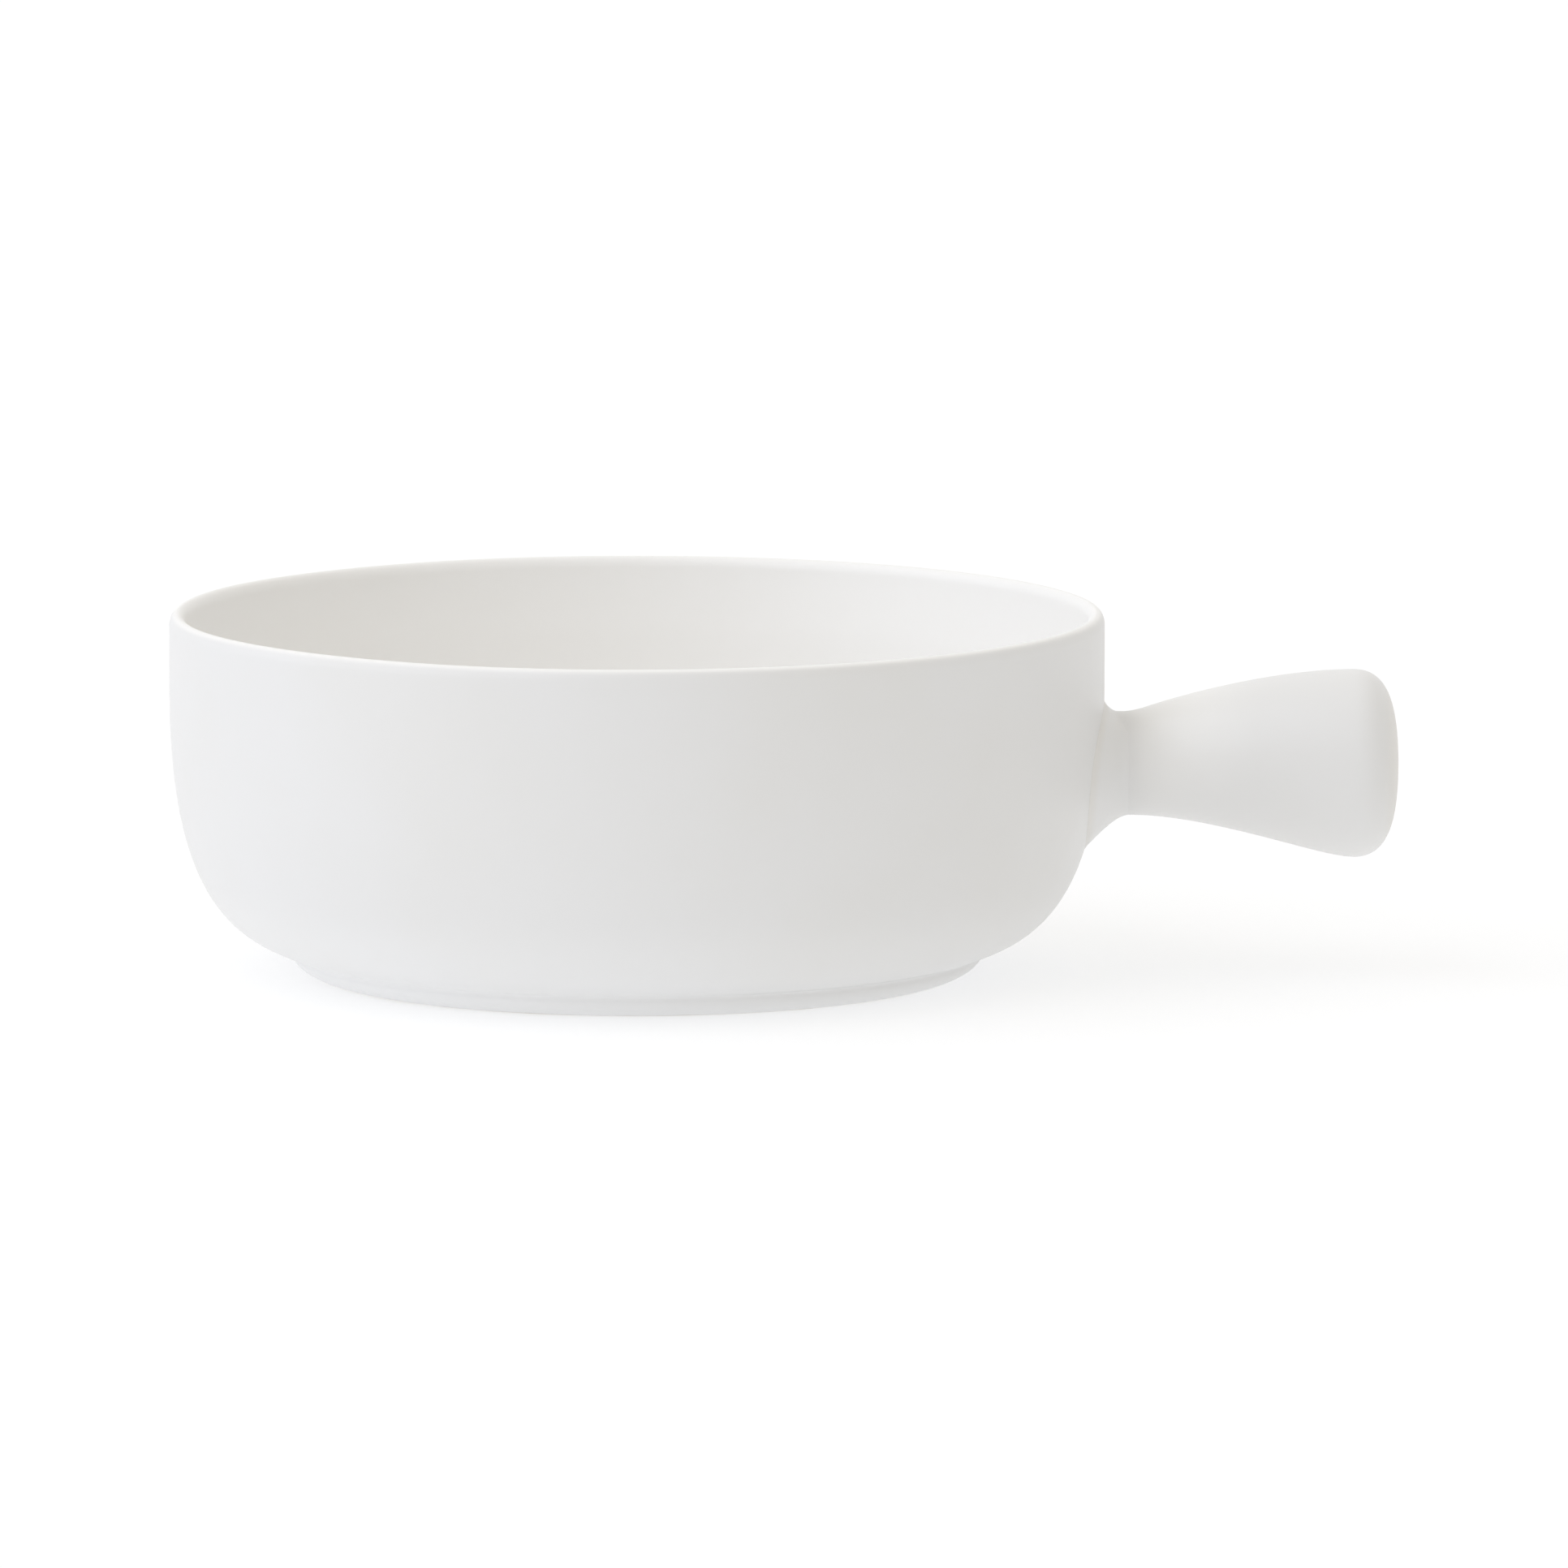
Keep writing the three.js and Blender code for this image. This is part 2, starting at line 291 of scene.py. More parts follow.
class StageLook(bpy.types.PropertyGroup):
    """Floor, light and camera."""

    floor_colour: colour("Floor", "Pale floor", (0.7, 0.7, 0.696))
    floor_glow: colour("Floor glow", "Light from below, as a light table gives", (0.357, 0.363, 0.376))
    floor_lift: share("Shadow lift", "How far the camera sees the floor's shadow lifted to white", 0.45)
    floor_radius: length("Floor radius", "Radius of the floor", 6.0)
    floor_fade: length("Floor fade", "Where the floor starts to fade out", 2.5)
    room_low: colour("Room near the table", "Light from low all round", (0.22, 0.22, 0.22))
    room_high: colour("Room overhead", "Light from straight above", (0.95, 0.92, 0.86))
    room_top: share("Room top", "Share of the way up from which the room is as bright as overhead", 0.8)
    key_colour: colour("Key", "Colour of the key light", (0.81, 0.865, 1.0))
    key_strength: FloatProperty(name="Key strength", description="Irradiance of the key light", default=1.2)
    key_softness: angle("Key softness", "Angle that the key light fills", 80)
    key_side: angle("Key side", "Turn of the key light from the front to the left", 70)
    key_height: angle("Key height", "Height of the key light", 35)
    camera_height: angle("Camera height", "Camera's angle above the table", 7.6)
    camera_distance: length("Camera distance", "Camera to the middle of the bowl", 4.0)
    aim_height: length("Aim height", "Height of the point in the middle of the picture", 0.0365)
    frame_width: length("Frame width", "Width that the picture takes in at the bowl", 0.302)


# Profiles and turning


def curve(start, start_pull, end_pull, end, points=CURVE_POINTS):
    """Points along one cubic curve in the plane of a profile."""
    knots = [Vector((*knot, 0.0)) for knot in (start, start_pull, end_pull, end)]
    return [spot.to_2d() for spot in interpolate_bezier(*knots, points)]


def round_top(centre, half_width, rise, points):
    """Points over a rounded top of a given rise, from its outer side to its inner one."""
    spots = []
    for step in range(points):
        turn = math.pi * step / (points - 1)
        spots.append(Vector((centre[0] + half_width * math.cos(turn), centre[1] + rise * math.sin(turn))))
    return spots


def eased(start, corner, end, points=FILLET_POINTS):
    """A corner of a profile, rounded so that it leaves both sides smoothly."""
    start, corner, end = Vector(start), Vector(corner), Vector(end)
    return curve(start, start.lerp(corner, EASE), end.lerp(corner, EASE), end, points)


def radius_at(outline, place):
    """Radius of an outline at a place along it, and past its ends the radius of that end."""
    for before, after in zip(outline, outline[1:]):
        if before.y <= place <= after.y:
            return before.lerp(after, (place - before.y) / (after.y - before.y)).x
    return outline[0].x if place < outline[0].y else outline[-1].x


def line(start, end, points):
    """Even points between two ends, without the last."""
    start, end = Vector(start), Vector(end)
    return [start.lerp(end, step / points) for step in range(points)]


def turned(profile, steps, closed=False):
    """A bmesh turned from (radius, along) points about its own upright axis."""
    bm = bmesh.new()
    verts = [bm.verts.new((radius, 0.0, along)) for radius, along in profile]
    edges = [bm.edges.new(pair) for pair in zip(verts, verts[1:])]
    if closed:
        edges.append(bm.edges.new((verts[-1], verts[0])))
    bmesh.ops.spin(
        bm, geom=verts + edges, cent=(0, 0, 0), axis=(0, 0, 1), angle=math.tau, steps=steps, use_merge=True
    )
    bmesh.ops.remove_doubles(bm, verts=bm.verts, dist=WELD)
    bmesh.ops.recalc_face_normals(bm, faces=bm.faces)
    return bm


def fade(value, start, end):
    """Smooth step from 0 at start to 1 at end."""
    along = min(1.0, max(0.0, (value - start) / (end - start)))
    return along * along * (3.0 - 2.0 * along)


def breathe(bm, depth, spread):
    """Moves the skin in and out by a slow noise, as clay moves in the kiln."""
    bm.normal_update()
    moves = [vert.normal * depth * noise.noise(vert.co / spread) for vert in bm.verts]
    for vert, move in zip(bm.verts, moves):
        vert.co += move


def lay_glaze_and_painted_light(bm, layer_name, amount_at):
    """Keeps on each vertex how the glaze lies there, and the painted light and shade laid with it."""
    layer = bm.verts.layers.float.new(layer_name)
    for vert in bm.verts:
        vert[layer] = amount_at(vert.co)


def finish_piece(bm, name, node, material):
    """Makes the mesh an object that rides on the root body and stands for its CAD node."""
    mesh = bpy.data.meshes.new(name)
    bm.to_mesh(mesh)
    bm.free()
    mesh.shade_smooth()
    mesh.set_sharp_from_angle(angle=SHARP_EDGE)
    mesh.materials.append(material)
    piece = bpy.data.objects.new(name, mesh)
    bpy.context.scene.collection.objects.link(piece)
    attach(piece, "root")
    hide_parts(node)
    return piece


# Shapes


def upright_place(bowl):
    """From a turned shape's own axis to the bowl's axis."""
    return Matrix.Translation((bowl.axis_x, 0.0, 0.0))


def handle_place(bowl, handle):
    """From a turned shape's own axis to the handle's axis, starting at the wall."""
    root = Matrix.Translation((bowl.axis_x + bowl.rim_radius, 0.0, handle.axis_height))
    return root @ Matrix.Rotation(math.pi / 2, 4, "Y")


def outer_wall(bowl):
    """Outside of the shell from the foot crease up to the straight wall."""
    base = bowl.rim_height - bowl.straight_wall
    rise = base - bowl.foot_height
    spread = bowl.rim_radius - bowl.crease_radius
    return curve(
        (bowl.crease_radius, bowl.foot_height),
        (bowl.crease_radius + FOOT_PULL * spread, bowl.foot_height + FOOT_LIFT * rise),
        (bowl.rim_radius, base - WALL_PULL * rise),
        (bowl.rim_radius, base),
    )


def shell_profile(bowl):
    """Underside, rounded outside, straight wall, round lip, rounded inside and floor."""
    base = bowl.rim_height - bowl.straight_wall
    lip = bowl.lip / 2
    lip_centre = (bowl.rim_radius - lip, bowl.rim_height - bowl.lip_rise)
    inside_radius = bowl.rim_radius - bowl.wall
    floor_top = bowl.foot_height + bowl.floor
    width = inside_radius - bowl.flat_floor_radius
    inside = curve(
        (inside_radius, base),
        (inside_radius, base - INSIDE_WALL_PULL * (base - floor_top)),
        (bowl.flat_floor_radius + INSIDE_FLOOR_PULL * width, floor_top),
        (bowl.flat_floor_radius, floor_top),
    )
    underside = line((0.0, bowl.foot_height), (bowl.crease_radius, bowl.foot_height), WALL_POINTS)
    wall = line((bowl.rim_radius, base), (bowl.rim_radius, lip_centre[1]), WALL_POINTS)
    lip_turn = round_top(lip_centre, lip, bowl.lip_rise, LIP_POINTS)
    inner_wall = line((bowl.rim_radius - bowl.lip, lip_centre[1]), (inside_radius, base), WALL_POINTS)
    dish = line((bowl.flat_floor_radius, floor_top), (0.0, floor_top - bowl.dish), DISH_POINTS)
    middle = [Vector((0.0, floor_top - bowl.dish))]
    outside = outer_wall(bowl)
    return underside + outside[:-1] + wall + lip_turn[:-1] + inner_wall + inside[:-1] + dish + middle


def foot_profile(bowl):
    """A low ring whose outside rolls in to a flat resting face."""
    rest_outer = bowl.crease_radius - bowl.foot_taper
    rest_inner = rest_outer - bowl.foot_rest
    crease = Vector((bowl.crease_radius, bowl.foot_height))
    below = crease - Vector((0.0, bowl.crease_fill))
    outside = curve(
        (rest_outer, 0.0),
        (rest_outer + FOOT_ROLL * bowl.foot_taper, 0.0),
        (bowl.crease_radius, FOOT_STAND * bowl.foot_height),
        below,
    )
    wall = outer_wall(bowl)
    fill = eased(below, crease, crease + (wall[1] - wall[0]).normalized() * bowl.crease_fill)
    edge = bowl.foot_edge
    inner_edge = curve(
        (rest_inner - edge, edge),
        (rest_inner - edge / 2, 0.0),
        (rest_inner, 0.0),
        (rest_inner + edge, 0.0),
        FILLET_POINTS,
    )
    rest = line((rest_inner + edge, 0.0), (rest_outer, 0.0), REST_POINTS)
    seat_height = bowl.foot_height + bowl.foot_seat
    seat = [
        Vector((bowl.crease_radius - bowl.foot_seat, seat_height)),
        Vector((rest_inner - bowl.foot_inside, seat_height)),
        Vector((rest_inner - bowl.foot_inside, bowl.foot_height)),
    ]
    return inner_edge[:-1] + rest + outside + fill[1:] + seat


def handle_reach(bowl, handle):
    """Length of the handle from the wall to its tip."""
    return handle.tip_x - bowl.axis_x - bowl.rim_radius


def grip_flare(handle, reach, inset):
    """Top and sides of the grip, which widen from the neck at once, less an inset for the hollow."""
    start = handle.collar_length + handle.joint + inset
    widest = reach - handle.grip_end
    span = widest - start
    neck = handle.neck_radius - inset
    grip = handle.grip_radius - inset
    return curve(
        (neck, start),
        (neck + NECK_RISE * (grip - neck), start + NECK_PULL * span),
        (grip, widest - GRIP_PULL * span),
        (grip, widest),
    )


def grip_underside(handle, reach):
    """Underside of the grip, which stays slim under the fingers before it widens."""
    start = handle.collar_length + handle.joint
    widest = reach - handle.grip_end
    span = widest - start
    return curve(
        (handle.neck_radius, start),
        (handle.neck_radius, start + UNDER_NECK_PULL * span),
        (handle.grip_radius, widest - UNDER_GRIP_PULL * span),
        (handle.grip_radius, widest),
    )


def grip_end(handle, reach, inset):
    """Domed end of the grip, up to the handle's axis."""
    widest = reach - handle.grip_end
    grip = handle.grip_radius - inset
    tip = reach - inset
    return curve(
        (grip, widest),
        (grip, widest + END_PULL * (tip - widest)),
        (DOME_PULL * grip, tip),
        (0.0, tip),
    )


def grip_outline(bowl, handle):
    """Outside of the grip: a neck eased out from under the collar, the flare and the domed end."""
    reach = handle_reach(bowl, handle)
    flare = grip_flare(handle, reach, 0.0)
    root = flare[0]
    tucked = Vector((handle.neck_radius - handle.tuck, root.y - handle.neck_ease))
    eased_to = next(spot for spot in flare if spot.y > root.y + handle.neck_ease)
    neck = eased(tucked, (tucked.x, root.y), eased_to, CURVE_POINTS)
    widening = [spot for spot in flare if spot.y > eased_to.y]
    return neck + widening + grip_end(handle, reach, 0.0)[1:]


def handle_profile(bowl, handle):
    """Hollow, tenon and the outside of the grip."""
    reach = handle_reach(bowl, handle)
    hollow = grip_flare(handle, reach, handle.casting) + grip_end(handle, reach, handle.casting)[1:]
    hollow.reverse()
    outside = grip_outline(bowl, handle)
    tenon = [
        Vector((handle.tenon_radius - handle.casting, -bowl.wall)),
        Vector((handle.tenon_radius, -bowl.wall)),
        Vector((handle.tenon_radius, outside[0].y)),
    ]
    return hollow + tenon + outside


def draw_up_underside(bm, bowl, handle):
    """Draws the lower half of the turned handle up, more so the further a spot lies below the axis."""
    reach = handle_reach(bowl, handle)
    widest = reach - handle.grip_end
    outside = grip_outline(bowl, handle)
    underside = grip_underside(handle, reach)
    for vert in bm.verts:
        if vert.co.x <= 0.0 or vert.co.z > widest:
            continue
        low = vert.co.x / math.hypot(vert.co.x, vert.co.y)
        drawn = 1.0 - radius_at(underside, vert.co.z) / radius_at(outside, vert.co.z)
        vert.co.x *= 1.0 - max(0.0, drawn) * low**2


def mouth_reach(handle, side, up):
    """How far the collar's mouth reaches from the handle's axis in a direction across it."""
    half_height = handle.collar_rise if up > 0 else handle.collar_drop
    return 1.0 / math.hypot(side / handle.collar_reach, up / half_height)


def wall_face(bowl, handle, wall, across, up):
    """Distance of the outer wall from the handle's starting plane, at a spot across the handle."""
    radius = radius_at(wall, handle.axis_height + up)
    return math.sqrt(radius**2 - across**2) - bowl.rim_radius


def collar_profile(handle):
    """Ring round the tenon in shares of its length, from below 0 inside the wall to 1 on the neck."""
    outside = line((handle.neck_radius, 0.0), (handle.neck_radius, 1.0), FLARE_POINTS)
    edge = [Vector((handle.neck_radius, 1.0))]
    bore = [Vector((handle.tenon_radius, 1.0)), Vector((handle.tenon_radius, COLLAR_BURIED))]
    return [Vector((handle.neck_radius, COLLAR_BURIED))] + outside + edge + bore


def shape_collar(bm, bowl, handle):
    """Draws a turned ring out to a wide mouth that follows the wall, with glaze in the angle."""
    wall = outer_wall(bowl)
    neck = handle.neck_radius
    for vert in bm.verts:
        radius = math.hypot(vert.co.x, vert.co.y)
        side = vert.co.y / radius
        up = -vert.co.x / radius
        along = vert.co.z
        mouth = mouth_reach(handle, side, up)
        span = handle.collar_length - wall_face(bowl, handle, wall, side * mouth, up * mouth)
        away = max(0.0, along) * span
        flare = min(span, FLARE_RATIO * (mouth - neck))
        drawn = radius
        if radius > handle.tenon_radius + handle.joint:
            drawn += (mouth - neck) * max(0.0, 1.0 - away / flare) ** 2
            drawn += handle.fillet * max(0.0, 1.0 - away / handle.fillet) ** 2
            drawn -= handle.tuck * fade(along, 0.5, 1.0)
        face = wall_face(bowl, handle, wall, side * drawn, up * drawn)
        vert.co = Vector((-up * drawn, side * drawn, face + along * (handle.collar_length - face)))


def vent_punch(bowl, handle):
    """A turned punch for the vent, whose mouth is softened where it meets the skin."""
    underside = grip_underside(handle, handle_reach(bowl, handle))
    skin = handle.axis_height - radius_at(underside, handle.vent_distance)
    deep = PUNCH_DEPTH * handle.casting
    soft = handle.vent_mouth - handle.vent_radius
    mouth = eased(
        (handle.vent_mouth + soft, -2 * soft),
        (handle.vent_radius, -soft / 2),
        (handle.vent_radius, 2 * soft),
    )
    inner = [Vector((handle.vent_radius, deep)), Vector((0.0, deep))]
    bm = turned([Vector((0.0, -2 * soft))] + mouth + inner, VENT_STEPS)
    spot = Matrix.Translation((bowl.axis_x + bowl.rim_radius + handle.vent_distance, 0.0, skin))
    bmesh.ops.transform(bm, matrix=spot, verts=bm.verts)
    return bm


def cut_away(bm, punch):
    """A bmesh with a punch's shape cut out of it."""
    pair = []
    for shape, name in ((bm, "casting"), (punch, "punch")):
        mesh = bpy.data.meshes.new(name)
        shape.to_mesh(mesh)
        shape.free()
        pair.append(bpy.data.objects.new(name, mesh))
        bpy.context.scene.collection.objects.link(pair[-1])
    casting, tool = pair
    cut = casting.modifiers.new("vent", "BOOLEAN")
    cut.operation = "DIFFERENCE"
    cut.solver = "EXACT"
    cut.object = tool
    result = bmesh.new()
    result.from_object(casting, bpy.context.evaluated_depsgraph_get())
    for spare in pair:
        bpy.data.objects.remove(spare)
    bmesh.ops.remove_doubles(result, verts=result.verts, dist=WELD)
    return result


# Finishes


def new_finish(name):
    """A new material, its tree of nodes and its main shader."""
    material = bpy.data.materials.new(name)
    material.use_nodes = True
    tree = material.node_tree
    return material, tree, tree.nodes["Principled BSDF"]


def object_place(tree):
    """Place on the piece, in metres."""
    return tree.nodes.new("ShaderNodeTexCoord").outputs["Object"]


def feed(tree, socket, value):
    """Links a node's output to a socket, or sets the socket's own value."""
    if isinstance(value, bpy.types.NodeSocket):
        tree.links.new(value, socket)
    else:
        socket.default_value = value


def add_noise(tree, place, scale, detail, roughness=0.5):
    """Cloudy noise whose features are about one over scale across, in metres."""
    node = tree.nodes.new("ShaderNodeTexNoise")
    feed(tree, node.inputs["Vector"], place)
    feed(tree, node.inputs["Scale"], scale)
    feed(tree, node.inputs["Detail"], detail)
    feed(tree, node.inputs["Roughness"], roughness)
    return node.outputs["Fac"]


def add_attribute(tree, name):
    """A number kept on the vertices, which is 0 on a piece that doesn't have it."""
    node = tree.nodes.new("ShaderNodeAttribute")
    node.attribute_name = name
    return node.outputs["Fac"]


def add_range(tree, value, start, end, low, high):
    """Smooth step of a value from one range to another."""
    node = tree.nodes.new("ShaderNodeMapRange")
    node.interpolation_type = "SMOOTHSTEP"
    feed(tree, node.inputs["Value"], value)
    feed(tree, node.inputs["From Min"], start)
    feed(tree, node.inputs["From Max"], end)
    feed(tree, node.inputs["To Min"], low)
    feed(tree, node.inputs["To Max"], high)
    return node.outputs["Result"]


def add_math(tree, operation, first, second):
    """What one operation makes of two numbers."""
    node = tree.nodes.new("ShaderNodeMath")
    node.operation = operation
    feed(tree, node.inputs[0], first)
    feed(tree, node.inputs[1], second)
    return node.outputs[0]


def add_mix(tree, kind, factor, first, second):
    """A number, direction or colour between two others."""
    first_place, second_place, out_place = MIX_KINDS[kind]
    node = tree.nodes.new("ShaderNodeMix")
    node.data_type = kind
    feed(tree, node.inputs["Factor"], factor)
    feed(tree, node.inputs[first_place], first)
    feed(tree, node.inputs[second_place], second)
    return node.outputs[out_place]


def add_bump(tree, height, distance, strength, normal=None):
    """Relief of a given depth in metres, on top of another."""
    node = tree.nodes.new("ShaderNodeBump")
    feed(tree, node.inputs["Height"], height)
    feed(tree, node.inputs["Distance"], distance)
    feed(tree, node.inputs["Strength"], strength)
    if normal is not None:
        feed(tree, node.inputs["Normal"], normal)
    return node.outputs["Normal"]


def add_direct_sight(tree):
    """1 for rays that show a thing to the camera, straight, in a gloss or through glass, and else 0."""
    rays = tree.nodes.new("ShaderNodeLightPath").outputs
    straight = add_math(tree, "MAXIMUM", rays["Is Camera Ray"], rays["Is Glossy Ray"])
    return add_math(tree, "MAXIMUM", straight, rays["Is Transmission Ray"])


def solid_colour(value):
    """A colour with full alpha, as a socket takes it."""
    return (*value, 1.0)


def satin_glaze(tree, look, place):
    """Colour, roughness and relief of the satin glaze: clouds, orange peel, thin and pooled places, whose
    colours, with the whiter poured glaze, also carry painted light and painted shade.
    """
    depth = add_attribute(tree, GLAZE_AND_PAINTED_LIGHT_LAYER)
    poured_and_lit = add_attribute(tree, POURED_AND_PAINTED_LIGHT_LAYER)
    thin_and_shaded = add_range(tree, depth, 0.0, GLAZE_EVEN, THIN_AND_SHADE_COVER, 0.0)
    pooled_and_lit = add_range(tree, depth, GLAZE_EVEN, 1.0, 0.0, POOLED_AND_LIT_COVER)
    clouds = add_noise(tree, place, CLOUD_SCALE, detail=3.0)
    peel = add_noise(tree, place, PEEL_SCALE, detail=2.0)
    grain = add_noise(tree, place, GRAIN_SCALE, detail=1.0)
    tint = add_range(tree, clouds, *CLOUD_LEVELS, 0.0, WARM_COVER)
    paint = add_mix(tree, "RGBA", tint, solid_colour(look.glaze), solid_colour(look.glaze_warm))
    # Whiter poured glaze: partly painted light inside the bowl, painted light on the foot and low on the
    # outer wall
    paint = add_mix(tree, "RGBA", poured_and_lit, paint, solid_colour(look.glaze_poured_and_painted_light))
    # Thin glaze, which at the grip's end and the collar's edge is also painted shade
    paint = add_mix(tree, "RGBA", thin_and_shaded, paint, solid_colour(look.glaze_thin_and_shade))
    # Pooled glaze in the creases, and painted light at the handle's neck
    paint = add_mix(tree, "RGBA", pooled_and_lit, paint, solid_colour(look.glaze_pooled_and_painted_light))
    streaks = add_mix(tree, "FLOAT", PEEL_IN_STREAKS, clouds, peel)
    rough = add_range(tree, streaks, *STREAK_LEVELS, look.gloss_rough, look.matt_rough)
    rough = add_math(tree, "ADD", rough, add_math(tree, "MULTIPLY", thin_and_shaded, GLOSS_CHANGE))
    rough = add_math(tree, "SUBTRACT", rough, add_math(tree, "MULTIPLY", pooled_and_lit, GLOSS_CHANGE))
    skin = add_mix(tree, "FLOAT", GRAIN_IN_PEEL, peel, grain)
    relief = add_bump(tree, clouds, CLOUD_RELIEF, strength=0.5)
    relief = add_bump(tree, skin, PEEL_RELIEF, strength=0.35, normal=relief)
    return paint, rough, relief


def bare_clay(tree, look, place):
    """Colour and relief of dry stoneware with its sandy grain."""
    sand = add_noise(tree, place, SAND_SCALE, detail=3.0, roughness=0.6)
    patches = add_noise(tree, place, PATCH_SCALE, detail=2.0)
    grains = add_range(tree, sand, *SAND_LEVELS, 0.0, SAND_COVER)
    dusting = add_range(tree, patches, *PATCH_LEVELS, 0.0, DUSTING_COVER)
    paint = add_mix(tree, "RGBA", grains, solid_colour(look.clay), solid_colour(look.clay_dark))
    paint = add_mix(tree, "RGBA", dusting, paint, solid_colour(look.glaze_warm))
    return paint, add_bump(tree, sand, SAND_RELIEF, strength=0.6)


def glazed_material(name, look):
    """Satin white glaze all over."""
    material, tree, surface = new_finish(name)
    paint, rough, relief = satin_glaze(tree, look, object_place(tree))
    feed(tree, surface.inputs["Base Color"], paint)
    feed(tree, surface.inputs["Roughness"], rough)
    feed(tree, surface.inputs["Normal"], relief)
    feed(tree, surface.inputs["Coat Weight"], look.coat)
    feed(tree, surface.inputs["Coat Roughness"], look.coat_rough)
    return material


def foot_material(name, look):
    """Glaze that stops in an uneven line just above the bare resting face."""
    material, tree, surface = new_finish(name)
    place = object_place(tree)
    split = tree.nodes.new("ShaderNodeSeparateXYZ")
    feed(tree, split.inputs["Vector"], place)
    glaze, glaze_rough, glaze_relief = satin_glaze(tree, look, place)
    clay, clay_relief = bare_clay(tree, look, place)
    waves = add_noise(tree, place, WAVE_SCALE, detail=3.0)
    wander = add_range(tree, waves, *WAVE_LEVELS, -EDGE_WANDER, EDGE_WANDER)
    height = add_math(tree, "ADD", split.outputs["Z"], wander)
    low = look.bare_height - EDGE_WANDER
    high = look.bare_height + EDGE_WANDER
    cover = add_range(tree, height, low, high, 0.0, 1.0)
    feed(tree, surface.inputs["Base Color"], add_mix(tree, "RGBA", cover, clay, glaze))
    feed(tree, surface.inputs["Roughness"], add_mix(tree, "FLOAT", cover, look.clay_rough, glaze_rough))
    feed(tree, surface.inputs["Normal"], add_mix(tree, "VECTOR", cover, clay_relief, glaze_relief))
    return material


def floor_material(name, look):
    """Pale floor that gives some light, fades out far away and shows its shadow lifted towards white."""
    material, tree, surface = new_finish(name)
    distance = tree.nodes.new("ShaderNodeVectorMath")
    distance.operation = "LENGTH"
    feed(tree, distance.inputs[0], object_place(tree))
    cover = add_range(tree, distance.outputs["Value"], look.floor_fade, look.floor_radius, 1.0, 0.0)
    feed(tree, surface.inputs["Base Color"], solid_colour(look.floor_colour))
    feed(tree, surface.inputs["Roughness"], 1.0)
    feed(tree, surface.inputs["Specular IOR Level"], 0.0)
    feed(tree, surface.inputs["Alpha"], cover)
    feed(tree, surface.inputs["Emission Color"], solid_colour(look.floor_glow))
    feed(tree, surface.inputs["Emission Strength"], 1.0)
    glow = tree.nodes.new("ShaderNodeEmission")
    feed(tree, glow.inputs["Color"], WHITE)
    lift = tree.nodes.new("ShaderNodeMixShader")
    feed(tree, lift.inputs["Fac"], add_math(tree, "MULTIPLY", add_direct_sight(tree), look.floor_lift))
    feed(tree, lift.inputs[1], surface.outputs["BSDF"])
    feed(tree, lift.inputs[2], glow.outputs["Emission"])
    feed(tree, tree.nodes["Material Output"].inputs["Surface"], lift.outputs["Shader"])
    return material


def shared_material(name, make, look):
    """The finish of that name, made once."""
    return bpy.data.materials.get(name) or make(name, look)


def painted_neck_light(bowl, handle, spot):
    """Painted light round the grip's neck, laid as pooled glaze to lift the shade the bowl casts there,
    more of it on top than underneath.
    """
    away = spot.x - bowl.axis_x - bowl.rim_radius - handle.collar_length
    gathered_and_lit = fade(away, NECK_LIGHT_START, NECK_LIGHT_FULL)
    lift_faded = fade(away, NECK_LIGHT_FADE_START, NECK_LIGHT_FADE_END)
    on_top = fade(spot.z - handle.axis_height, -NECK_SIDE, NECK_SIDE)
    return gathered_and_lit * (1.0 - lift_faded) * (NECK_UNDERSIDE_LIGHT + (1.0 - NECK_UNDERSIDE_LIGHT) * on_top)


# Operators


class SALADBOWL_OT_shell(bpy.types.Operator):
    """Turn the shell of the bowl and glaze it"""

    bl_idname = "salad_bowl.shell"
    bl_label = "Turn the Shell"

    def execute(self, context):
        bowl = context.scene.bowl_shape
        bm = turned(shell_profile(bowl), SHELL_STEPS)
        bmesh.ops.transform(bm, matrix=upright_place(bowl), verts=bm.verts)
        breathe(bm, KILN_DEPTH, KILN_SPREAD)
        corner_radius = bowl.rim_radius - bowl.wall
        floor_top = bowl.foot_height + bowl.floor
        wall = outer_wall(bowl)

        def depth_at(spot):
            radius = math.hypot(spot.x - bowl.axis_x, spot.y)
            crease = 1.0 - fade(spot.z, bowl.foot_height, bowl.foot_height + CREASE_RISE)
            crease *= fade(radius, bowl.crease_radius - CREASE_REACH, bowl.crease_radius)
            corner = 1.0 - fade(spot.z, floor_top, floor_top + CORNER_RISE)
            corner *= fade(radius, bowl.flat_floor_radius, corner_radius)
            return GLAZE_EVEN + CREASE_POOL * crease + CORNER_POOL * corner

        def poured_and_lit_at(spot):
            # Whiter poured glaze inside, partly painted light for the brighter light in the bowl
            within = radius_at(wall, spot.z) - math.hypot(spot.x - bowl.axis_x, spot.y)
            inside = fade(within, INSIDE_START, INSIDE_END)
            # Whiter glaze run low on the outside, also painted light over the shade near the foot
            run_and_light = 1.0 - fade(spot.z, bowl.foot_height, bowl.foot_height + FOOT_RUN_LIGHT_RISE)
            return max(inside, FOOT_RUN_AND_PAINTED_LIGHT * run_and_light)

        lay_glaze_and_painted_light(bm, GLAZE_AND_PAINTED_LIGHT_LAYER, depth_at)
        lay_glaze_and_painted_light(bm, POURED_AND_PAINTED_LIGHT_LAYER, poured_and_lit_at)
        glaze = shared_material("satin_white_glaze", glazed_material, context.scene.glaze_look)
        finish_piece(bm, "glazed_shell", "bowl_body", glaze)
        return {"FINISHED"}


